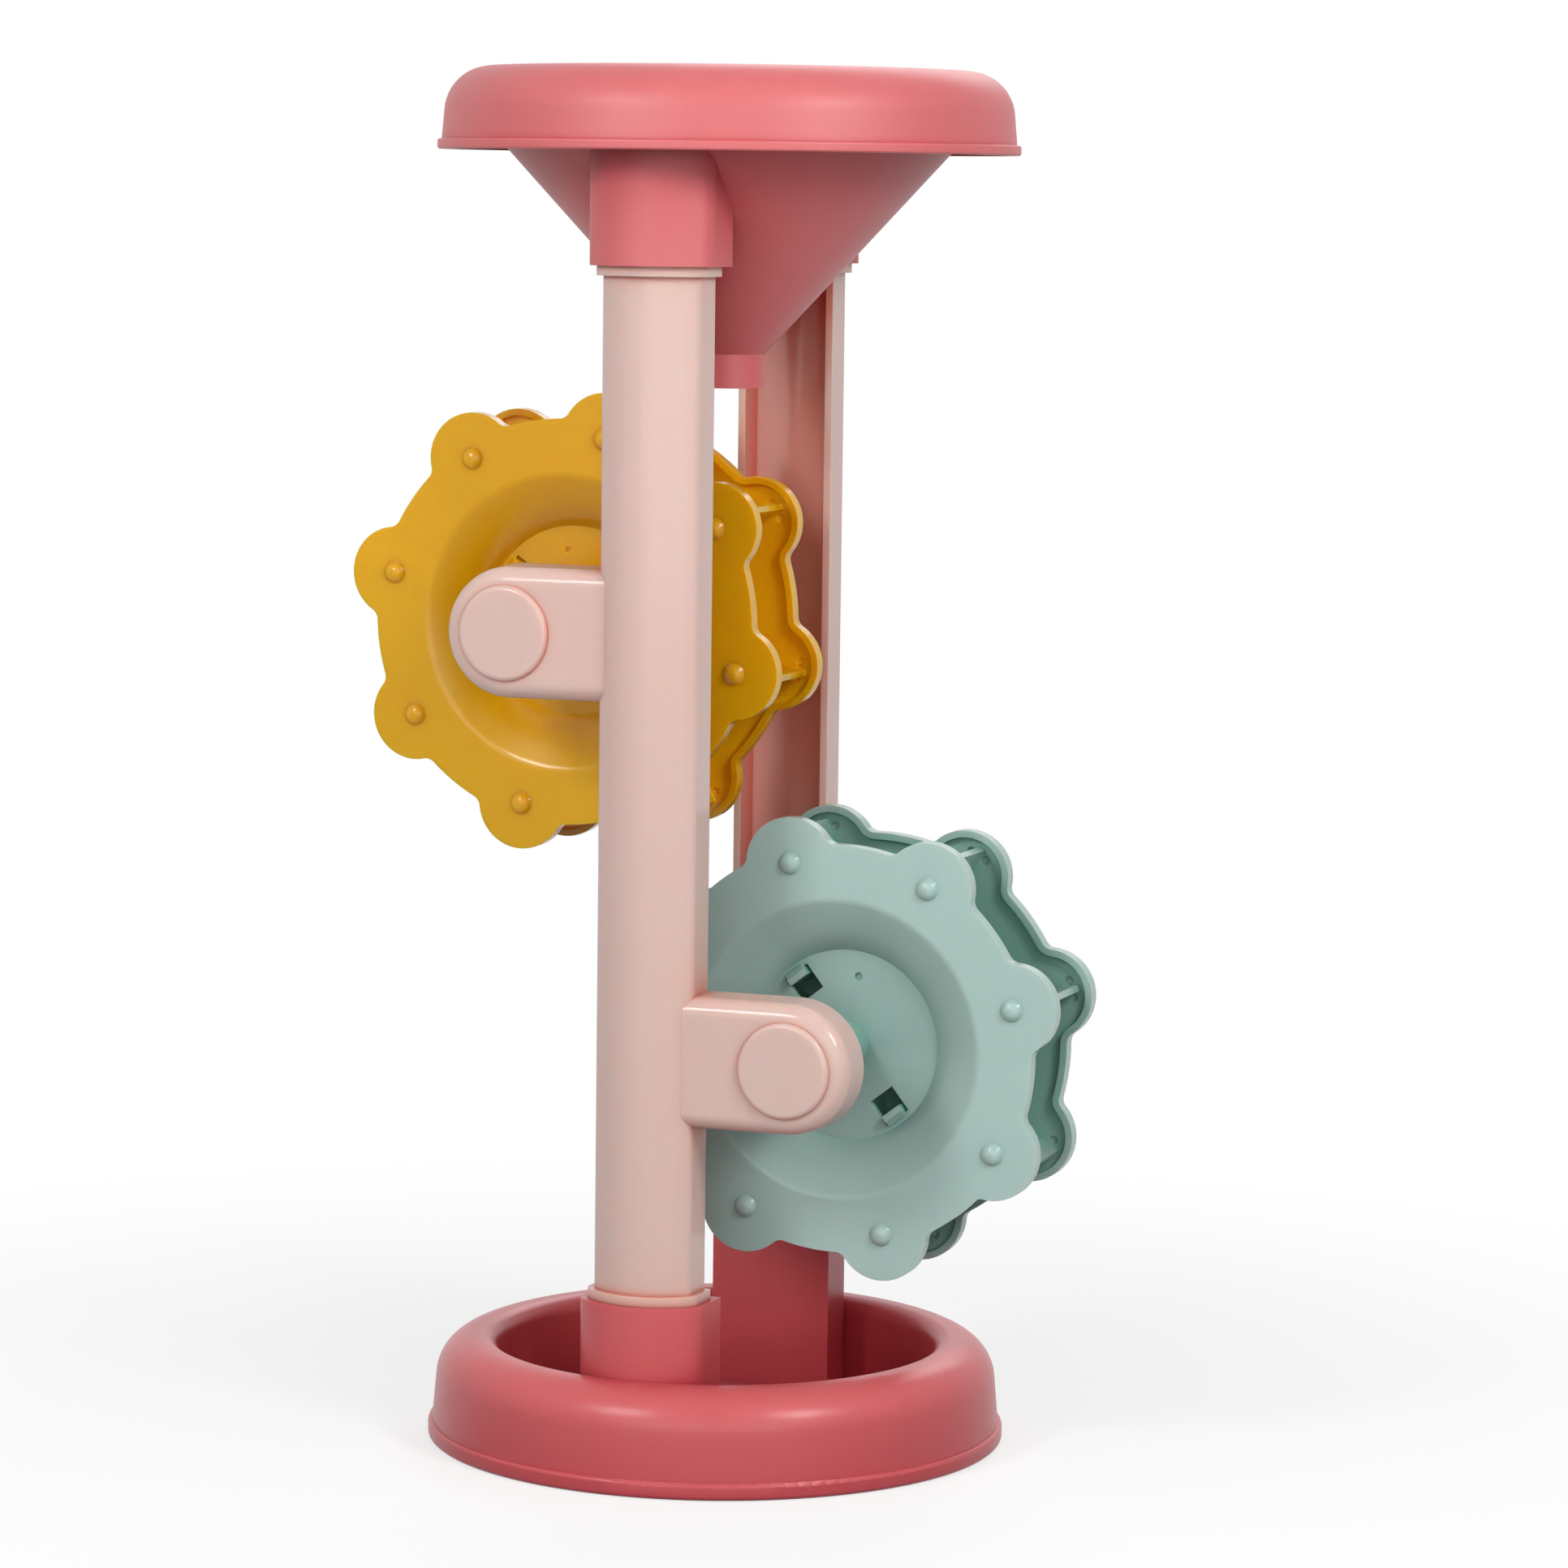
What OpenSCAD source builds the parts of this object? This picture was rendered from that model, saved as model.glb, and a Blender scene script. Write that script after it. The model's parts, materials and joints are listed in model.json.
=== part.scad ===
// Sand wheel toy: a funnel on two posts drops sand on two bucket wheels above a round tray.
// The ground is z = 0, the wheels' axles run along Y, and the front post is on the -Y side.

/* [Overall] */
// Height of the toy from the ground to the top of the funnel's rim
total_h = 329.2; // [300:0.1:380]
// Half of the clear width between the open sides of the two posts
post_inner_y = 39.2; // [36:0.1:44]
// Distance of each axle from the middle of the posts
axle_x = 35.5; // [32:0.1:40]
// Height of the lower wheel's axle
lower_axle_z = 99; // [95:0.1:106]
// Height of the upper wheel's axle
upper_axle_z = 197.4; // [192:0.1:204]

/* [Tray] */
// Radius of the lip that the tray stands on
tray_r = 69.8; // [69.4:0.1:80]
// Height of the tray's ring
ring_h = 24.4; // [22:0.1:32]
// Height of the lip at the foot of the ring
tray_lip_h = 4; // [3:0.1:6]
// Width that the lip stands out from the ring's skirt
tray_lip_out = 1; // [0.6:0.1:1.6]
// Radius of the ring's outer shoulder
ring_shoulder = 10; // [6:0.1:12]
// Width of the flat between the ring's shoulder and its inner edge
ring_flat = 0.8; // [0.4:0.1:3]
// Radius of the edge between the ring's top and the well
ring_edge = 4; // [2.5:0.1:6]
// Height of the gap under the well's floor
floor_gap = 2; // [1:0.1:4]
// Height of the tray's sockets above the ground
tray_socket_h = 41.7; // [36:0.1:48]

/* [Funnel] */
// Radius of the lip at the foot of the funnel's rim
rim_r = 69.2; // [68.9:0.1:78]
// Height of the funnel's rim
rim_h = 19.6; // [18:0.1:24]
// Height of the lip at the foot of the rim
rim_lip_h = 2.4; // [1.6:0.1:4]
// Width that the lip stands out from the rim's skirt
rim_lip_out = 1; // [0.6:0.1:1.2]
// Radius of the rim's outer shoulder
rim_shoulder = 11; // [6:0.1:12]
// Width of the flat between the rim's shoulder and its inner edge
rim_flat = 0.8; // [0.4:0.1:3]
// Radius of the edge between the rim's top and the bowl
rim_edge = 3.2; // [2.5:0.1:5]
// Depth from the top of the rim to where the cone starts
cone_start = 17.2; // [16:0.1:20]
// Height of the cone
cone_h = 50; // [44:0.5:54]
// Length of the spout under the cone
spout_len = 8; // [5:0.1:10]
// Outer radius of the spout
spout_r = 9; // [8:0.1:11]
// Depth from the top of the rim to the foot of the sockets
funnel_socket_drop = 46; // [44:0.1:50]

/* [Moulded walls] */
// Wall of the tray and the funnel
shell_wall = 2; // [1.6:0.1:2.4]
// Slope of the skirts, in degrees
skirt_draft = 5; // [2:0.5:6]
// Wall of the posts and their arms
post_wall = 1.8; // [1.4:0.1:2.2]
// Wall of the wheels
wheel_wall = 1.8; // [1.4:0.1:2.2]

/* [Posts] */
// Width of a post across its side walls
post_w = 24.4; // [22:0.1:26]
// Depth of a post from its open side to its crown
post_depth = 14.6; // [13:0.1:16]
// Radius of the post's crowned face
post_crown_r = 16.2; // [15.5:0.1:19]
// Radius of the soft corner between the crowned face and a side wall
post_corner = 2.5; // [1.9:0.1:3.2]
// Height of the collar that rests on a socket
collar_h = 2.3; // [1.6:0.1:3.5]
// Width that the collar stands out from the post
collar_out = 1.6; // [1.5:0.1:2]
// Width that the plugged ends stand out from the post
plug_out = 0.7; // [0.4:0.1:0.9]
// Depth of the plug in the tray's socket
tray_plug = 24; // [16:0.5:30]
// Depth of the plug in the funnel's socket
funnel_plug = 9.5; // [6:0.1:10]
// Wall of the sockets
socket_wall = 2.4; // [1.8:0.1:2.8]
// Clearance of a plug in its socket
plug_gap = 0.1; // [0.05:0.01:0.25]

/* [Arms] */
// Radius of the arm's round end at its open side
arm_r = 15.8; // [14.5:0.1:17]
// Depth of the arm from its open side to its face
arm_depth = 11.1; // [10:0.1:12]
// Slope of the arm's walls, in degrees
arm_draft = 3; // [1:0.5:5]
// Radius of the arm's rounded edge
arm_edge = 4; // [2.5:0.1:5]
// Radius of the raised button over the bearing
button_r = 11.3; // [10:0.1:11.5]
// Height of the raised button
button_h = 1.3; // [0.8:0.1:1.8]
// Wall of the bearing sleeve inside an arm
sleeve_wall = 2; // [1.6:0.1:2.6]
// Length of the sleeve past the arm's open side
sleeve_reach = 9; // [4:0.5:12]

/* [Wheels] */
// Radius of the wheel between its lobes
wheel_r = 48.7; // [46:0.1:50]
// Radius of a lobe
lobe_r = 11; // [9:0.1:12]
// Distance of the lobes' centres from the axle
lobe_at = 45.3; // [43:0.1:46]
// Radius of the hollow beside each lobe
lobe_fillet = 3; // [2:0.1:5]
// Number of lobes and of paddles
lobe_count = 8; // [7:1:9]
// Width of a wheel across its two faces
wheel_w = 31.2; // [29:0.1:34]
// Width of the lip around a wheel's edge
edge_lip_w = 1.7; // [1.2:0.1:2.4]
// Height of the wheel's edge with its lip
edge_lip_h = 3.6; // [2.6:0.1:5]
// Depth of the dish around the hub
dish_depth = 8; // [6:0.1:9]
// Slope of the dish's wall, in degrees
dish_slope = 34; // [30:0.5:50]
// Radius of the roll between the dish's wall and the plate
dish_roll = 6; // [3:0.1:8]
// Radius of the flat hub
hub_r = 22.8; // [21.8:0.1:25]
// Radius of a dome on a lobe
dome_r = 2.75; // [2:0.05:3.5]
// Height of a dome
dome_h = 1.5; // [1:0.1:2]
// Thickness of a paddle
paddle_t = 1.6; // [1.2:0.1:2.4]
// Radius that the paddles reach
paddle_r = 53; // [48:0.1:54]
// Outer radius of the tube around the axle, between the hubs
hub_tube_r = 9; // [8:0.1:11]
// Radius of the stub axle on each side of a wheel
stub_r = 5.5; // [5:0.1:6]
// Running clearance of a stub in its sleeve
stub_gap = 0.08; // [0.03:0.01:0.1]
// Play between the end of a stub and the arm's face
end_play = 0.4; // [0.2:0.1:0.8]
// Turn of the upper wheel at rest, in degrees
upper_turn = 31.7; // [0:0.1:45]
// Turn of the lower wheel at rest, in degrees
lower_turn = 15.5; // [0:0.1:45]

/* [Snap hooks] */
// Side of the square windows in a hub
window = 6.8; // [5.4:0.1:7]
// Distance of the windows' centres from the axle
window_at = 17.8; // [17:0.1:18.2]
// Width of a hook
hook_w = 5.2; // [4:0.1:5.2]
// Thickness of a hook's shank
hook_t = 2; // [1.4:0.1:2.4]
// Overhang of a hook's barb past the edge of its window
barb = 0.8; // [0.4:0.1:1]
// Height of a barb
barb_h = 1.7; // [1.2:0.1:2]
// Clearance of a hook in its window
hook_gap = 0.2; // [0.1:0.05:0.4]

/* [Hidden] */
$fn = 96;
overrun = shell_wall;
coral = "#cf6468";
pale_pink = "#e4c2b8";
mustard = "#d6a21f";
sage = "#a3bfb7";

// Distance from the middle to the centre of a ring's shoulder
function shoulder_at(h, skirt_r, skirt_z, shoulder) =
    skirt_r - shoulder * cos(skirt_draft)
    - (h - shoulder + shoulder * sin(skirt_draft) - skirt_z) * tan(skirt_draft);

// Places that follow from the sizes above
tray_skirt_r = tray_r - tray_lip_out;
well_r = shoulder_at(ring_h, tray_skirt_r, tray_lip_h, ring_shoulder) - ring_flat - ring_edge;
rim_skirt_r = rim_r - rim_lip_out;
bowl_r = shoulder_at(rim_h, rim_skirt_r, rim_lip_h, rim_shoulder) - rim_flat - rim_edge;
crown_y = post_inner_y + post_depth;
arc_y = crown_y - post_crown_r;
corner_x = post_w / 2 - post_corner;
corner_y = arc_y + sqrt(pow(post_crown_r - post_corner, 2) - pow(corner_x, 2));
// The crowned face lies this far inside its soft corners, so that the two arcs cross cleanly
crown_inset = post_corner / 100;
socket_in = plug_out + plug_gap;
socket_out = socket_in + socket_wall;
funnel_socket_z = total_h - funnel_socket_drop;
cone_top_z = total_h - cone_start;
cone_foot_z = cone_top_z - cone_h;
spout_tip_z = cone_foot_z - spout_len;
spout_bore = spout_r - shell_wall;
cone_slope = cone_h / (bowl_r + shell_wall - spout_r);
cone_rise = shell_wall * sqrt(1 + cone_slope * cone_slope);
face_z = wheel_w / 2;
hub_z = face_z - dish_depth;
roll_z = face_z - dish_roll;
roll_x = hub_r + dish_roll * sin(dish_slope)
         + (dish_depth - dish_roll * (1 - cos(dish_slope))) / tan(dish_slope);
dome_ball = (dome_r * dome_r + dome_h * dome_h) / (2 * dome_h);
sleeve_bore = stub_r + stub_gap;
stub_tip_z = post_inner_y + arm_depth - post_wall - end_play;
lobe_step = 360 / lobe_count;
window_turn = lobe_step * 2.5;
hook_x = window_at + window / 2 - hook_gap;
// The hollow beside a lobe cuts this far into the circles that it joins, so that they cross cleanly
fillet_bite = lobe_fillet / 150;
fillet_reach = wheel_r + lobe_fillet - fillet_bite;
fillet_lean = acos((fillet_reach * fillet_reach + lobe_at * lobe_at
                    - pow(lobe_r + lobe_fillet - fillet_bite, 2)) / (2 * fillet_reach * lobe_at));

// Quarter of a disc with its corner at [x, y]; sx and sy say to which side it lies
module quarter(r, x, y, sx, sy) {
    translate([x, y])
        intersection() {
            circle(r);
            translate([min(0, sx * r), min(0, sy * r)])
                square(r);
        }
}

// Half section of a turned-down ring, drawn inset by d, from height low to height h
module bell(h, skirt_r, skirt_z, inner_r, shoulder, edge, low, d) {
    cz = h - shoulder;
    cx = shoulder_at(h, skirt_r, skirt_z, shoulder);
    ex = inner_r + edge;
    ez = h - edge;
    foot_r = skirt_r + (skirt_z - low) * tan(skirt_draft) - d / cos(skirt_draft);
    touch = [cx + (shoulder - d) * cos(skirt_draft), cz + (shoulder - d) * sin(skirt_draft)];
    polygon([[inner_r + d, low], [foot_r, low], touch, [cx, cz], [cx, h - d],
             [ex, h - d], [ex, ez], [inner_r + d, ez]]);
    quarter(shoulder - d, cx, cz, 1, 1);
    quarter(edge - d, ex, ez, -1, 1);
}

// Lip with a rounded outer edge at the foot of a skirt
module foot_lip(r, h, inner) {
    soft = h / 4;
    translate([inner, 0])
        square([r - soft - inner, h]);
    translate([inner, soft])
        square([r - inner, h - 2 * soft]);
    for (z = [soft, h - soft])
        translate([r - soft, z])
            circle(soft);
}

// Outline of a post, grown by d, between its open side and its crowned face
module post_outline(d, open_y) {
    translate([-post_w / 2 - d, -corner_y])
        square([post_w + 2 * d, corner_y - open_y]);
    for (sx = [-1, 1])
        translate([sx * corner_x, -corner_y])
            circle(post_corner + d);
    reach = 2 * post_crown_r / (post_crown_r - post_corner);
    intersection() {
        translate([0, -arc_y])
            circle(post_crown_r - crown_inset + d);
        polygon([[0, -arc_y],
                 [-corner_x * reach, -arc_y - (corner_y - arc_y) * reach],
                 [corner_x * reach, -arc_y - (corner_y - arc_y) * reach]]);
    }
}

// Closed tube that takes the end of the front post
module socket_body(low, high) {
    translate([0, 0, low])
        linear_extrude(high - low)
            post_outline(socket_out, post_inner_y - plug_gap - socket_wall);
}

module socket_space(low, high) {
    translate([0, 0, low])
        linear_extrude(high - low)
            post_outline(socket_in, post_inner_y - plug_gap);
}

// What the front side has, and its mirror image at the back
module both_sides() {
    children();
    mirror([0, 1, 0])
        children();
}

module tray() {
    color(coral)
        difference() {
            union() {
                rotate_extrude()
                    difference() {
                        union() {
                            bell(ring_h, tray_skirt_r, tray_lip_h, well_r, ring_shoulder, ring_edge, 0, 0);
                            foot_lip(tray_r, tray_lip_h, tray_skirt_r - shell_wall / 2);
                        }
                        bell(ring_h, tray_skirt_r, tray_lip_h, well_r, ring_shoulder, ring_edge,
                             -overrun, shell_wall);
                    }
                translate([0, 0, floor_gap])
                    cylinder(r = well_r + shell_wall / 2, h = shell_wall);
                both_sides()
                    socket_body(floor_gap, tray_socket_h);
            }
            both_sides()
                socket_space(floor_gap + shell_wall, tray_socket_h + overrun);
        }
}

// Wall of the cone and the spout, as a half section
module cone_section() {
    polygon([[bowl_r + shell_wall, cone_top_z], [spout_r, cone_foot_z], [spout_r, spout_tip_z],
             [spout_bore, spout_tip_z], [spout_bore, cone_foot_z - shell_wall * cone_slope + cone_rise],
             [bowl_r, cone_top_z - shell_wall * cone_slope + cone_rise],
             [bowl_r + shell_wall, cone_top_z - shell_wall * cone_slope + cone_rise]]);
}

// The space that sand takes, grown by half a wall, so that the sockets stay out of it
module bowl_space() {
    grow = shell_wall / 2;
    drop = grow * (sqrt(1 + cone_slope * cone_slope) - cone_slope);
    rotate_extrude()
        polygon([[0, spout_tip_z], [spout_bore + grow, spout_tip_z],
                 [spout_bore + grow, cone_foot_z - shell_wall * cone_slope + cone_rise - drop],
                 [bowl_r + grow, cone_top_z - shell_wall * cone_slope + cone_rise - drop],
                 [bowl_r + grow, total_h], [0, total_h]]);
}

module funnel() {
    rim_z = total_h - rim_h;
    color(coral) {
        rotate_extrude() {
            difference() {
                translate([0, rim_z]) {
                    bell(rim_h, rim_skirt_r, rim_lip_h, bowl_r, rim_shoulder, rim_edge, 0, 0);
                    foot_lip(rim_r, rim_lip_h, rim_skirt_r - shell_wall / 2);
                }
                translate([0, rim_z])
                    bell(rim_h, rim_skirt_r, rim_lip_h, bowl_r, rim_shoulder, rim_edge,
                         -overrun, shell_wall);
                translate([0, rim_z - overrun])
                    square([bowl_r + shell_wall + overrun, rim_h - cone_start + overrun]);
            }
            cone_section();
        }
        both_sides()
            difference() {
                socket_body(funnel_socket_z, total_h - rim_edge);
                socket_space(funnel_socket_z - overrun, total_h);
                bowl_space();
            }
    }
}

// Half section of an arm, drawn inset by d: x is the distance from the axle,
// y the depth from the open side
module arm_half(d) {
    slant = tan(arm_draft);
    cy = arm_depth - arm_edge;
    cx = arm_r - cy * slant - arm_edge / cos(arm_draft);
    touch = [cx + (arm_edge - d) * cos(arm_draft), cy + (arm_edge - d) * sin(arm_draft)];
    low = d > 0 ? -overrun : 0;
    polygon([[0, low], [arm_r - low * slant - d / cos(arm_draft), low], touch, [cx, cy],
             [cx, arm_depth - d], [0, arm_depth - d]]);
    quarter(arm_edge - d, cx, cy, 1, 1);
}

// Solid of an arm that reaches from the post to its axle, on the side that sx says
module arm_body(sx, z, d) {
    translate([sx * axle_x, -post_inner_y, z])
        rotate([90, 0, 0])
            rotate_extrude()
                arm_half(d);
    translate([min(0, sx * axle_x), -post_inner_y, z])
        rotate([180, -90, 0])
            linear_extrude(axle_x) {
                arm_half(d);
                mirror([1, 0])
                    arm_half(d);
            }
}

// Raised button on the face of an arm, and the bearing sleeve behind it
module bearing(sx, z) {
    translate([sx * axle_x, -post_inner_y, z])
        rotate([90, 0, 0])
            rotate_extrude() {
                translate([0, arm_depth - post_wall / 2]) {
                    square([button_r - button_h, button_h + post_wall / 2]);
                    square([button_r, post_wall / 2]);
                }
                quarter(button_h, button_r - button_h, arm_depth, 1, 1);
                translate([sleeve_bore, -sleeve_reach])
                    square([sleeve_wall, sleeve_reach + arm_depth - post_wall / 2]);
            }
}

// Front post with its two arms, open towards the wheels
module post() {
    low = tray_socket_h;
    high = funnel_socket_z;
    color(pale_pink) {
        difference() {
            union() {
                translate([0, 0, low])
                    linear_extrude(high - low)
                        post_outline(0, post_inner_y);
                for (z = [low, high - collar_h])
                    translate([0, 0, z])
                        linear_extrude(collar_h)
                            post_outline(collar_out, post_inner_y);
                translate([0, 0, low - tray_plug])
                    linear_extrude(tray_plug)
                        post_outline(plug_out, post_inner_y);
                translate([0, 0, high])
                    linear_extrude(funnel_plug)
                        post_outline(plug_out, post_inner_y);
                arm_body(-1, upper_axle_z, 0);
                arm_body(1, lower_axle_z, 0);
            }
            translate([0, 0, low - tray_plug - overrun])
                linear_extrude(high + funnel_plug - low + tray_plug + 2 * overrun)
                    post_outline(-post_wall, post_inner_y - overrun);
            arm_body(-1, upper_axle_z, post_wall);
            arm_body(1, lower_axle_z, post_wall);
        }
        bearing(-1, upper_axle_z);
        bearing(1, lower_axle_z);
    }
}

module front_post() {
    post();
}

module back_post() {
    mirror([0, 1, 0])
        post();
}

// Outline of a wheel, drawn inset by d
module wheel_outline(d) {
    circle(wheel_r - d);
    for (k = [0 : lobe_count - 1])
        rotate(k * lobe_step) {
            translate([lobe_at, 0])
                circle(lobe_r - d);
            for (side = [-1, 1])
                difference() {
                    polygon([[0, 0], [lobe_at, 0],
                             [fillet_reach * cos(fillet_lean), side * fillet_reach * sin(fillet_lean)]]);
                    rotate(side * fillet_lean)
                        translate([fillet_reach, 0])
                            circle(lobe_fillet + d);
                }
        }
}

// Half section of what lies under the dish, drawn inset by d
module dish_fill(d) {
    low = d > 0 ? -overrun : 0;
    high_r = d > 0 ? roll_x + overrun : roll_x;
    polygon([[0, low], [high_r, low], [high_r, roll_z], [roll_x, roll_z],
             [roll_x - (dish_roll - d) * sin(dish_slope), roll_z + (dish_roll - d) * cos(dish_slope)],
             [hub_r + d * tan(dish_slope / 2), hub_z - d], [0, hub_z - d]]);
    quarter(dish_roll - d, roll_x, roll_z, -1, 1);
}

// Paddle between the hub tube and its lobe, on one side of the middle plane
module paddle() {
    mid = wheel_wall / 2;
    rotate([90, 0, 0])
        linear_extrude(paddle_t, center = true)
            difference() {
                translate([hub_tube_r - mid, 0])
                    square([paddle_r - hub_tube_r + mid, face_z - mid]);
                difference() {
                    translate([0, hub_z - mid])
                        square([roll_x, face_z]);
                    dish_fill(mid);
                }
            }
}

// Hook that reaches through the other half's window and catches on its far side
module hook() {
    catch_z = -hub_z - hook_gap / 2;
    tip_z = catch_z - barb_h;
    rotate([90, 0, 0])
        linear_extrude(hook_w, center = true)
            polygon([[hook_x - hook_t, hub_z - wheel_wall / 2], [hook_x, hub_z - wheel_wall / 2],
                     [hook_x, catch_z], [hook_x + hook_gap + barb, catch_z],
                     [hook_x + hook_gap + barb, catch_z - barb_h / 4],
                     [hook_x - hook_t / 4, tip_z], [hook_x - hook_t, tip_z]]);
}

// Lobed plate with a lip along its edge and a dome on each lobe
module lobed_plate() {
    translate([0, 0, face_z - wheel_wall])
        linear_extrude(wheel_wall)
            difference() {
                wheel_outline(0);
                circle(roll_x);
            }
    translate([0, 0, face_z - edge_lip_h])
        linear_extrude(edge_lip_h - wheel_wall)
            difference() {
                wheel_outline(0);
                wheel_outline(edge_lip_w);
            }
    for (k = [0 : lobe_count - 1])
        rotate(k * lobe_step)
            intersection() {
                translate([lobe_at, 0, face_z + dome_h - dome_ball])
                    sphere(dome_ball);
                translate([lobe_at, 0, face_z - wheel_wall / 2])
                    cylinder(r = lobe_r, h = wheel_wall / 2 + dome_h + overrun);
            }
}

// Half of a wheel; its meeting face is z = 0 and its outer face is up
module wheel_half() {
    difference() {
        union() {
            lobed_plate();
            rotate_extrude() {
                difference() {
                    dish_fill(0);
                    dish_fill(wheel_wall);
                }
                translate([hub_tube_r - wheel_wall, 0])
                    square([wheel_wall, hub_z]);
                square([stub_r, stub_tip_z]);
            }
            for (k = [0 : lobe_count - 1])
                rotate(k * lobe_step)
                    paddle();
            for (turn = [90, 270])
                rotate(window_turn + turn)
                    hook();
        }
        translate([0, 0, -overrun])
            cylinder(r = stub_r - wheel_wall, h = stub_tip_z - wheel_wall + overrun);
        for (turn = [0, 180])
            rotate(window_turn + turn)
                translate([window_at - window / 2, -window / 2, hub_z - 2 * wheel_wall])
                    cube([window, window, 4 * wheel_wall]);
    }
}

module front_half(x, z, turn) {
    translate([x, 0, z])
        rotate([90, 0, 0])
            rotate(turn)
                wheel_half();
}

// The same moulding turned over, so that its hooks meet the front half's windows
module back_half(x, z, turn) {
    translate([x, 0, z])
        rotate([90, 0, 0])
            rotate(turn + 2 * window_turn + 90)
                rotate([180, 0, 0])
                    wheel_half();
}

module upper_wheel_front() {
    color(mustard)
        front_half(-axle_x, upper_axle_z, upper_turn);
}

module upper_wheel_back() {
    color(mustard)
        back_half(-axle_x, upper_axle_z, upper_turn);
}

module lower_wheel_front() {
    color(sage)
        front_half(axle_x, lower_axle_z, lower_turn);
}

module lower_wheel_back() {
    color(sage)
        back_half(axle_x, lower_axle_z, lower_turn);
}

tray();
funnel();
front_post();
back_post();
upper_wheel_front();
upper_wheel_back();
lower_wheel_front();
lower_wheel_back();
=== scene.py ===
import bpy
import json
import math
from mathutils import Matrix, Vector


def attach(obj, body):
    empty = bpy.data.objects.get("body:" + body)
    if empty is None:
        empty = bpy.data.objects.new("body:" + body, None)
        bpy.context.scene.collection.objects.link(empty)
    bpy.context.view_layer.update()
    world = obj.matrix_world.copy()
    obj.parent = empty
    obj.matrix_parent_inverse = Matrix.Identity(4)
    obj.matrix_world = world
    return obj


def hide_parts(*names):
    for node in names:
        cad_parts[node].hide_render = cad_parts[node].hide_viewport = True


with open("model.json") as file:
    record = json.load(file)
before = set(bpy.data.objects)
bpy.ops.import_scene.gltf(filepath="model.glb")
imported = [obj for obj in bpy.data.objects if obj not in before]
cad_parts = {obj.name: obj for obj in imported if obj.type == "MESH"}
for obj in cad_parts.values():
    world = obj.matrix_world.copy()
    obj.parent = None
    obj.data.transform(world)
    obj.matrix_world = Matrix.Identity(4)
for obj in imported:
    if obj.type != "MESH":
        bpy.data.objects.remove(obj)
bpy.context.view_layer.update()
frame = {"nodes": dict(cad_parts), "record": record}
nodes = frame["nodes"]
bpy.ops.object.select_all(action="DESELECT")
print("frame loaded:", ", ".join(sorted(nodes)))

mm = 0.001

plastic = {
    # base and deep are the tones that the resin drifts between; the bowl and hollow tones are painted
    # into recesses: painted shade, darker and more saturated, except the mustard's hollow, which is a
    # lighter painted glow
    # round is where the flow lines run out from, an axis and its place in metres, or None if upright
    "coral": {
        "base": (0.60, 0.112, 0.120), "deep": (0.51, 0.084, 0.092),
        "bowl": (0.50, 0.070, 0.080), "hollow": (0.38, 0.030, 0.045),
        "roughness": 0.325, "shine": 0.38, "glow": 0.35, "round": ("Z", 0.0, 0.0), "lines": 5.0,
    },
    # the funnel's satin: rougher and shinier than the tray, with a paler base that is painted sheen for
    # its broad front reflection
    "satin coral with painted sheen": {
        "base": (0.59, 0.138, 0.143), "deep": (0.52, 0.104, 0.111),
        "bowl": (0.50, 0.070, 0.080), "hollow": (0.38, 0.030, 0.045),
        "roughness": 0.46, "shine": 0.50, "glow": 0.35, "round": ("Z", 0.0, 0.0), "lines": 5.0,
    },
    "pink": {
        "base": (0.66, 0.495, 0.450), "deep": (0.63, 0.430, 0.380),
        "bowl": (0.62, 0.36, 0.30), "hollow": (0.58, 0.05, 0.015),
        "roughness": 0.17, "shine": 0.28, "glow": 0.7, "round": None, "lines": 260.0,
    },
    "mustard": {
        "base": (0.76, 0.425, 0.004), "deep": (0.68, 0.355, 0.003),
        "bowl": (0.50, 0.20, 0.001), "hollow": (0.90, 0.49, 0.005),
        "roughness": 0.18, "shine": 0.34, "glow": 0.75, "round": ("Y", -0.0355, 0.1974), "lines": 4.0,
    },
    "sage": {
        "base": (0.40, 0.545, 0.51), "deep": (0.33, 0.48, 0.45),
        "bowl": (0.25, 0.37, 0.34), "hollow": (0.18, 0.39, 0.32),
        "roughness": 0.21, "shine": 0.28, "glow": 0.4, "round": ("Y", 0.0355, 0.099), "lines": 4.0,
    },
}
resin = {
    # what the five plastics have in common
    "bend": 1.48,                                               # index of refraction
    "glowReach": (1.0, 0.42, 0.26), "glowDepth": 0.004,         # red light goes furthest, metres
    "cloud": {"Scale": 18.0, "Detail": 3.0},                    # slow drift, as resin flows
    "flow": {"Scale": 1.0, "Detail": 4.0, "Roughness": 0.6},    # faint lines away from the gate
    "alongFlow": 9.0, "alongPost": 6.0,                         # how fast the lines change lengthways
    "grain": {"Scale": 1400.0, "Detail": 2.0},                  # fine skin of the mould
    "skin": {"Strength": 0.05, "Distance": 0.0002},
    "sink": {"Strength": 0.12, "Distance": 0.0004},             # walls that cooled unevenly
    "glossDrift": 0.05,
    "recess": 0.03, "recessRays": 4,                            # how far a recess looks around, metres
    "paintedShadeOpenness": {"bowl": (0.7, 1.0), "hollow": (0.25, 0.75)},   # openness where the painted bowl and hollow shade is full and where it ends
}


def addNode(tree, kind, settings):
    node = tree.nodes.new(kind)
    for socket, value in settings.items():
        node.inputs[socket].default_value = value
    return node


def vectorMath(tree, operation, incoming, constant=None):
    step = tree.nodes.new("ShaderNodeVectorMath")
    step.operation = operation
    tree.links.new(incoming, step.inputs[0])
    if constant is not None:
        step.inputs[1].default_value = constant
    return step


def combine(tree, operation, first, second):
    step = tree.nodes.new("ShaderNodeMath")
    step.operation = operation
    tree.links.new(first, step.inputs[0])
    tree.links.new(second, step.inputs[1])
    return step.outputs[0]


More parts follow.
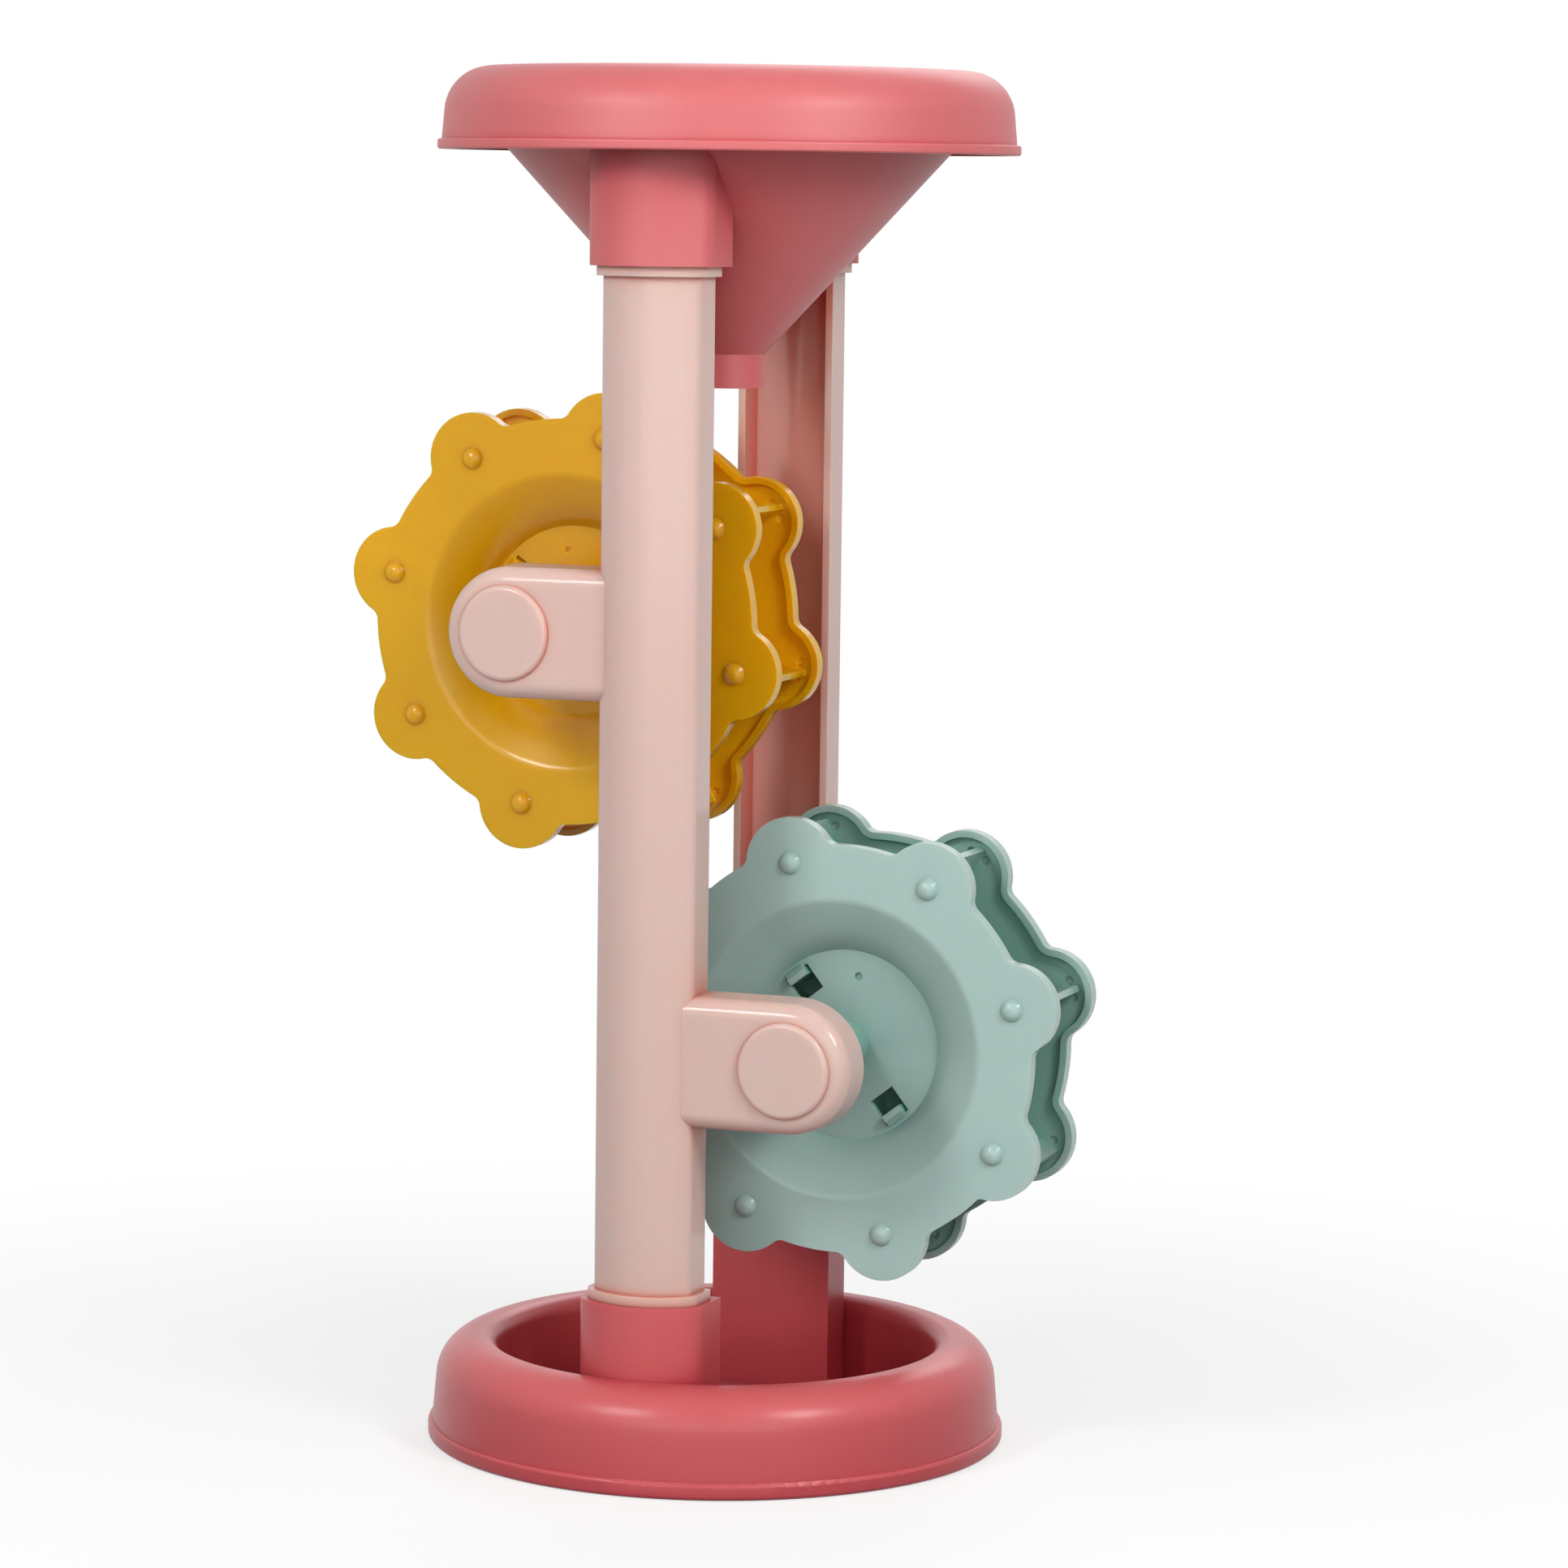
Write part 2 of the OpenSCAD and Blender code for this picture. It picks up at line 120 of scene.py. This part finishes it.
def flowLines(tree, place, look):
    # a place in the cloud that changes fast across the flow and slowly along it
    if look["round"] is None:
        scale = (look["lines"], look["lines"], resin["alongPost"])
        stretch = addNode(tree, "ShaderNodeMapping", {"Scale": scale})
        tree.links.new(place, stretch.inputs["Vector"])
        return stretch.outputs["Vector"]
    axis, first, second = look["round"]
    middle = (first, second, 0.0) if axis == "Z" else (first, 0.0, second)
    across = (1.0, 1.0, 0.0) if axis == "Z" else (1.0, 0.0, 1.0)
    away = vectorMath(tree, "SUBTRACT", place, middle)
    flat = vectorMath(tree, "MULTIPLY", away.outputs[0], across)
    heading = vectorMath(tree, "NORMALIZE", flat.outputs[0])
    fan = vectorMath(tree, "SCALE", heading.outputs[0])
    fan.inputs["Scale"].default_value = look["lines"]
    drift = vectorMath(tree, "MULTIPLY_ADD", place, (resin["alongFlow"],) * 3)
    tree.links.new(fan.outputs[0], drift.inputs[2])
    return drift.outputs[0]


def mouldedPlastic(name, look):
    mat = bpy.data.materials.new(name)
    mat.use_nodes = True
    tree = mat.node_tree
    shader = tree.nodes["Principled BSDF"]
    shader.inputs["IOR"].default_value = resin["bend"]
    shader.inputs["Specular IOR Level"].default_value = look["shine"]
    shader.inputs["Subsurface Weight"].default_value = look["glow"]
    shader.inputs["Subsurface Radius"].default_value = resin["glowReach"]
    shader.inputs["Subsurface Scale"].default_value = resin["glowDepth"]
    place = tree.nodes.new("ShaderNodeTexCoord").outputs["Object"]
    cloud = addNode(tree, "ShaderNodeTexNoise", resin["cloud"])
    tree.links.new(place, cloud.inputs["Vector"])
    flow = addNode(tree, "ShaderNodeTexNoise", resin["flow"])
    tree.links.new(flowLines(tree, place, look), flow.inputs["Vector"])

    tint = tree.nodes.new("ShaderNodeMix")
    tint.data_type = "RGBA"
    tint.inputs[6].default_value = (*look["base"], 1)
    tint.inputs[7].default_value = (*look["deep"], 1)
    tree.links.new(combine(tree, "MULTIPLY", cloud.outputs["Fac"], flow.outputs["Fac"]), tint.inputs[0])
    # painted shade and glow in recesses, found by ambient occlusion
    recess = addNode(tree, "ShaderNodeAmbientOcclusion", {"Distance": resin["recess"]})
    recess.samples = resin["recessRays"]
    colour = tint.outputs[2]
    for paintedTone, (full, end) in resin["paintedShadeOpenness"].items():     # painted shade: the more closed in a place is, the more its colour turns to the bowl and then the hollow tone
        ends = {"From Min": full, "From Max": end, "To Min": 1.0, "To Max": 0.0}
        paintedShadeMask = addNode(tree, "ShaderNodeMapRange", ends)
        tree.links.new(recess.outputs["AO"], paintedShadeMask.inputs["Value"])
        paintedShadeMix = tree.nodes.new("ShaderNodeMix")
        paintedShadeMix.data_type = "RGBA"
        paintedShadeMix.inputs[7].default_value = (*look[paintedTone], 1)
        tree.links.new(paintedShadeMask.outputs["Result"], paintedShadeMix.inputs[0])
        tree.links.new(colour, paintedShadeMix.inputs[6])
        colour = paintedShadeMix.outputs[2]
    tree.links.new(colour, shader.inputs["Base Color"])

    rough, drift = look["roughness"], resin["glossDrift"]
    gloss = addNode(tree, "ShaderNodeMapRange", {"To Min": rough - drift, "To Max": rough + drift})
    tree.links.new(cloud.outputs["Fac"], gloss.inputs["Value"])
    tree.links.new(gloss.outputs["Result"], shader.inputs["Roughness"])
    grain = addNode(tree, "ShaderNodeTexNoise", resin["grain"])
    tree.links.new(place, grain.inputs["Vector"])
    skin = addNode(tree, "ShaderNodeBump", resin["skin"])
    tree.links.new(grain.outputs["Fac"], skin.inputs["Height"])
    sink = addNode(tree, "ShaderNodeBump", resin["sink"])
    tree.links.new(cloud.outputs["Fac"], sink.inputs["Height"])
    tree.links.new(skin.outputs["Normal"], sink.inputs["Normal"])
    tree.links.new(sink.outputs["Normal"], shader.inputs["Normal"])
    return mat


finishes = {name: mouldedPlastic(name + " plastic", look) for name, look in plastic.items()}
finishOf = {
    "tray": "coral", "funnel": "satin coral with painted sheen", "front_post": "pink", "back_post": "pink",
    "upper_wheel_front": "mustard", "upper_wheel_back": "mustard",
    "lower_wheel_front": "sage", "lower_wheel_back": "sage",
}
for name, piece in nodes.items():
    piece.data.materials.clear()
    piece.data.materials.append(finishes[finishOf[name]])
print("plastics mixed:", ", ".join(finishes))

softEdge = {
    "width": 0.45, "segments": 3, "sharperThan": 32.0,          # mm, count, degrees
    "merge": 0.002, "flatWithin": 0.4, "smoothBelow": 35.0,     # mm, degrees, degrees
}
dish = {
    "hub": 22.8, "rim": 36.495, "face": 15.6, "depth": 8.0,     # mm: two radii, the plate, the drop
    "cadRoll": 6.0, "cadSlope": 34.0,                           # mm and degrees, as in the solid
    "roll": 4.2, "slope": 27.0, "sweep": 4.0,                   # mm, degrees, power of the curve
    "rings": ((4.0, 9), (0.3, 2)),                              # longer than this in mm, cuts
    "besideWall": 0.05, "offWall": 0.08, "keptEnds": 0.02,      # mm, how close counts as there
}
wheelMarks = {
    "upper": {"axle": (-35.5, 197.4), "turn": 31.7},            # mm and degrees
    "lower": {"axle": (35.5, 99.0), "turn": 15.5},
    "lobes": 8, "dimpleAt": 50.8, "besidePaddle": 2.1,          # mm from the axle, and to each side
    "gateAt": 16.79, "gateTurn": 65.0,                          # mm from the axle, degrees
    "innerFace": 13.8, "hubFace": 7.6,                          # mm from the wheel's middle plane
    "dimple": 1.1, "gate": 1.0, "gateDeep": 0.7,                # mm, two radii and a depth
    "sides": 24, "rings": 16,
    "offHub": 0.01, "facing": 0.9999, "flatWithin": 0.2,        # mm, cosine, degrees
}


def workOn(pieces):
    # only these are selected, and the first is active
    bpy.ops.object.select_all(action="DESELECT")
    for piece in pieces:
        piece.select_set(True)
    bpy.context.view_layer.objects.active = pieces[0]


def pickNothing(kind):
    # the active mesh has nothing selected, so that its faces or edges can be picked by their place
    bpy.ops.object.mode_set(mode="EDIT")
    bpy.ops.mesh.select_mode(type=kind)
    bpy.ops.mesh.select_all(action="DESELECT")
    bpy.ops.object.mode_set(mode="OBJECT")


def dishHeight(r, look):
    # height of the sweeping dish over the wheel's middle plane: a tight roll, then a wall that steepens
    slope = math.radians(look["slope"])
    rollEnd = look["rim"] - look["roll"] * math.sin(slope)
    if r >= rollEnd:
        return look["face"] - look["roll"] + math.sqrt(max(look["roll"] ** 2 - (look["rim"] - r) ** 2, 0))
    width = rollEnd - look["hub"]
    rollDepth = look["roll"] * (1 - math.cos(slope))
    along = (rollEnd - r) / width
    straight = width * math.tan(slope)
    rest = look["depth"] - rollDepth - straight
    return look["face"] - rollDepth - straight * along - rest * along ** (look["sweep"] + 1)


def cadHeight(r, look):
    # the same for the solid: a wider roll and a plain cone
    roll, slope = look["cadRoll"], math.radians(look["cadSlope"])
    rollEnd = look["rim"] - roll * math.sin(slope)
    if r >= rollEnd:
        return look["face"] - roll + math.sqrt(max(roll ** 2 - (look["rim"] - r) ** 2, 0))
    rollDepth = roll * (1 - math.cos(slope))
    return look["face"] - rollDepth - (rollEnd - r) * math.tan(slope)


def sweepDish(piece, axle, look):
    # the outer wall of the dish is cut into rings, which then follow the sweeping curve
    def onWall(point):
        r = math.hypot(point.x / mm - axle[0], point.z / mm - axle[1])
        beside = look["hub"] - look["besideWall"] < r < look["rim"] + look["besideWall"]
        return r if beside and abs(abs(point.y) / mm - cadHeight(r, look)) < look["offWall"] else None

    for shortest, cuts in look["rings"]:
        pickNothing("EDGE")
        reach = [onWall(vertex.co) for vertex in piece.data.vertices]
        for edge in piece.data.edges:
            near, far = (reach[k] for k in edge.vertices)
            edge.select = near is not None and far is not None and abs(near - far) > shortest
        bpy.ops.object.mode_set(mode="EDIT")
        bpy.ops.mesh.subdivide(number_cuts=cuts)
        bpy.ops.object.mode_set(mode="OBJECT")
    for vertex in piece.data.vertices:
        r = onWall(vertex.co)
        if r is not None and look["hub"] + look["keptEnds"] < r < look["rim"] - look["keptEnds"]:
            vertex.co.y = math.copysign(dishHeight(r, look) * mm, vertex.co.y)


def softMoulding(name, body, look):
    # a merged copy of the CAD moulding whose sharp edges are rounded as a mould leaves them
    piece = bpy.data.objects.new(name + "_moulding", nodes[name].data.copy())
    piece.data.name = piece.name
    bpy.context.scene.collection.objects.link(piece)
    workOn([piece])
    bpy.ops.object.mode_set(mode="EDIT")
    bpy.ops.mesh.select_all(action="SELECT")
    bpy.ops.mesh.remove_doubles(threshold=look["merge"] * mm)
    bpy.ops.mesh.dissolve_limited(angle_limit=math.radians(look["flatWithin"]))
    bpy.ops.object.mode_set(mode="OBJECT")
    if "wheel" in name:
        sweepDish(piece, wheelMarks[name.split("_")[0]]["axle"], dish)
    soft = piece.modifiers.new("soft edges", "BEVEL")
    soft.width = look["width"] * mm
    soft.segments = look["segments"]
    soft.limit_method = "ANGLE"
    soft.angle_limit = math.radians(look["sharperThan"])
    soft.miter_outer = "MITER_ARC"
    soft.harden_normals = False
    bpy.ops.object.modifier_apply(modifier=soft.name)
    split = piece.modifiers.new("triangles", "TRIANGULATE")     # so that large flats are cut cleanly
    bpy.ops.object.modifier_apply(modifier=split.name)
    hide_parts(name)
    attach(piece, body)
    return piece


def sinkMarks(piece, wheel, side, look):
    # dimples on both sides of each paddle's end and the gate mark on the hub are cut out of a wheel half
    axleX, axleZ = look[wheel]["axle"]
    plate = Vector((axleX, side * look["innerFace"], axleZ))
    cutters = []
    bpy.ops.object.select_all(action="DESELECT")
    for lobe in range(look["lobes"]):
        turn = math.radians(look[wheel]["turn"] + lobe * 360 / look["lobes"])
        out = Vector((math.cos(turn), 0, math.sin(turn)))
        across = Vector((-math.sin(turn), 0, math.cos(turn)))
        for beside in (-look["besidePaddle"], look["besidePaddle"]):
            spot = plate + look["dimpleAt"] * out + beside * across
            bpy.ops.mesh.primitive_uv_sphere_add(
                radius=look["dimple"] * mm, location=spot * mm,
                segments=look["sides"], ring_count=look["rings"])
            cutters.append(bpy.context.object)
    past = look["gateTurn"] if side < 0 else 180 - look["gateTurn"]
    gateTurn = math.radians(look[wheel]["turn"] + past)
    spot = Vector((axleX + look["gateAt"] * math.cos(gateTurn), side * look["hubFace"],
                   axleZ + look["gateAt"] * math.sin(gateTurn)))
    bpy.ops.mesh.primitive_cylinder_add(
        radius=look["gate"] * mm, depth=2 * look["gateDeep"] * mm, location=spot * mm,
        rotation=(math.radians(90), 0, 0), vertices=look["sides"])
    cutters.append(bpy.context.object)
    workOn(cutters)
    bpy.ops.object.join()
    cutter = bpy.context.object
    workOn([piece])
    cut = piece.modifiers.new("dimples", "BOOLEAN")
    cut.operation = "DIFFERENCE"
    cut.solver = "EXACT"
    cut.object = cutter
    bpy.ops.object.modifier_apply(modifier=cut.name)
    bpy.data.objects.remove(cutter, do_unlink=True)
    # slivers between the marks on the flat hub become one clean face again
    pickNothing("FACE")
    for face in piece.data.polygons:
        onHub = abs(face.center.y / mm - side * look["hubFace"]) < look["offHub"]
        face.select = onHub and abs(face.normal.y) > look["facing"]
    bpy.ops.object.mode_set(mode="EDIT")
    bpy.ops.mesh.dissolve_limited(angle_limit=math.radians(look["flatWithin"]))
    bpy.ops.object.mode_set(mode="OBJECT")


bodyOf = {name: body for body, names in frame["record"]["behaviour"]["bodies"].items() for name in names}
for name in sorted(nodes):
    moulding = softMoulding(name, bodyOf[name], softEdge)
    if "wheel" in name:
        sinkMarks(moulding, name.split("_")[0], -1 if name.endswith("front") else 1, wheelMarks)
    bpy.ops.object.shade_smooth_by_angle(angle=math.radians(softEdge["smoothBelow"]))
    flats = moulding.modifiers.new("flat faces stay flat", "WEIGHTED_NORMAL")
    flats.keep_sharp = True
    bpy.ops.object.modifier_apply(modifier=flats.name)
    print(name, "moulding:", len(moulding.data.polygons), "faces")

camera = {
    "side": 21.353, "distance": 1.2709, "height": 0.3021,       # degrees from the front, metres
    "tilt": 6.426, "pan": -0.668, "roll": 0.731,                # degrees
    "focalPixels": 6553.9, "imagePixels": 1932, "sensor": 36.0,     # the sensor in mm
}


def setCamera(view):
    side, pan = math.radians(view["side"]), math.radians(view["pan"])
    tilt, roll = math.radians(view["tilt"]), math.radians(view["roll"])
    up = Vector((0, 0, 1))
    ahead = Vector((-math.sin(side + pan), math.cos(side + pan), 0))
    across = Vector((math.cos(side + pan), math.sin(side + pan), 0))
    look = ahead * math.cos(tilt) - up * math.sin(tilt)
    top = ahead * math.sin(tilt) + up * math.cos(tilt)
    right = across * math.cos(roll) + top * math.sin(roll)
    top = top * math.cos(roll) - across * math.sin(roll)
    lens = bpy.data.cameras.new("camera")
    lens.sensor_width = view["sensor"]
    lens.lens = view["focalPixels"] / view["imagePixels"] * view["sensor"]
    eye = bpy.data.objects.new("camera", lens)
    bpy.context.scene.collection.objects.link(eye)
    eye.matrix_world = Matrix((right, top, -look)).transposed().to_4x4()
    eye.matrix_world.translation = Vector(
        (math.sin(side) * view["distance"], -math.cos(side) * view["distance"], view["height"]))
    bpy.context.scene.camera = eye


setCamera(camera)
print("camera set")

studio = {
    "aim": (0, 0, 0.17),                                        # metres, and watts for the power
    "leftBox": {"at": (-0.233, -0.607, 0.56), "size": (0.18, 0.18), "power": 2.2},
    "rightBox": {"at": (0.568, -0.315, 0.56), "size": (0.18, 0.18), "power": 2.7},
    "frontCard": {"at": (0.50, -1.35, 0.42), "size": (2.4, 0.7), "power": 9.9},
    "backBox": {"at": (-0.2, 1.7, 1.5), "size": (1.2, 1.2), "power": 12.0},
    "world": 0.27,
    "floorSize": 12.0, "floorDrop": 0.0002,
    "paper": 0.93, "bounce": 0.3, "paperRoughness": 0.9,        # as the camera sees it, as the toy does
    "fadeFrom": 0.08, "fadeTo": 0.40, "shadow": 0.34,           # metres from the middle, share
}


def softBox(name, spec, aim):
    lamp = bpy.data.lights.new(name, "AREA")
    lamp.shape = "RECTANGLE"
    lamp.size, lamp.size_y = spec["size"]
    lamp.energy = spec["power"]
    holder = bpy.data.objects.new(name, lamp)
    bpy.context.scene.collection.objects.link(holder)
    holder.visible_camera = False
    holder.location = spec["at"]
    holder.rotation_euler = (Vector(aim) - Vector(spec["at"])).to_track_quat("-Z", "Y").to_euler()


def seenDirectly(tree):
    # 1 where the camera looks, also through gloss or glass
    path = tree.nodes.new("ShaderNodeLightPath")
    seen = path.outputs["Is Camera Ray"]
    for ray in ("Is Glossy Ray", "Is Transmission Ray"):
        seen = combine(tree, "MAXIMUM", seen, path.outputs[ray])
    return seen


def paperFloor(name, look):
    # pale paper that keeps the shadow near the toy and runs out to plain white
    mat = bpy.data.materials.new(name)
    mat.use_nodes = True
    tree = mat.node_tree
    paper = tree.nodes["Principled BSDF"]
    paper.inputs["Roughness"].default_value = look["paperRoughness"]
    paper.inputs["Specular IOR Level"].default_value = 0.0
    seen = seenDirectly(tree)
    shade = addNode(tree, "ShaderNodeMapRange", {"To Min": look["bounce"], "To Max": look["paper"]})
    tree.links.new(seen, shade.inputs["Value"])
    tree.links.new(shade.outputs["Result"], paper.inputs["Base Color"])
    white = addNode(tree, "ShaderNodeEmission", {"Strength": 1.0})
    place = tree.nodes.new("ShaderNodeTexCoord")
    away = vectorMath(tree, "LENGTH", place.outputs["Object"])
    ends = {"From Min": look["fadeFrom"], "From Max": look["fadeTo"], "To Min": 1 - look["shadow"]}
    fade = addNode(tree, "ShaderNodeMapRange", ends)
    fade.interpolation_type = "SMOOTHSTEP"
    tree.links.new(away.outputs["Value"], fade.inputs["Value"])
    blend = tree.nodes.new("ShaderNodeMixShader")
    tree.links.new(combine(tree, "MULTIPLY", fade.outputs["Result"], seen), blend.inputs[0])
    tree.links.new(paper.outputs[0], blend.inputs[1])
    tree.links.new(white.outputs[0], blend.inputs[2])
    tree.links.new(blend.outputs[0], tree.nodes["Material Output"].inputs["Surface"])
    return mat


def whiteRoom(name, look):
    # the room lights the toy at its plain level and is seen as white
    world = bpy.data.worlds.new(name)
    world.use_nodes = True
    tree = world.node_tree
    sky = tree.nodes["Background"]
    sky.inputs["Color"].default_value = (1, 1, 1, 1)
    level = addNode(tree, "ShaderNodeMapRange", {"To Min": look["world"], "To Max": 1.0})
    tree.links.new(seenDirectly(tree), level.inputs["Value"])
    tree.links.new(level.outputs["Result"], sky.inputs["Strength"])
    bpy.context.scene.world = world


for lampName in ("leftBox", "rightBox", "frontCard", "backBox"):
    softBox(lampName, studio[lampName], studio["aim"])
bpy.ops.object.select_all(action="DESELECT")
bpy.ops.mesh.primitive_plane_add(size=studio["floorSize"], location=(0, 0, -studio["floorDrop"]))
floor = bpy.context.object
floor.name = "floor"
floor.data.materials.append(paperFloor("floor paper", studio))
whiteRoom("studio", studio)
bpy.context.scene.view_settings.view_transform = "Standard"
print("studio set")
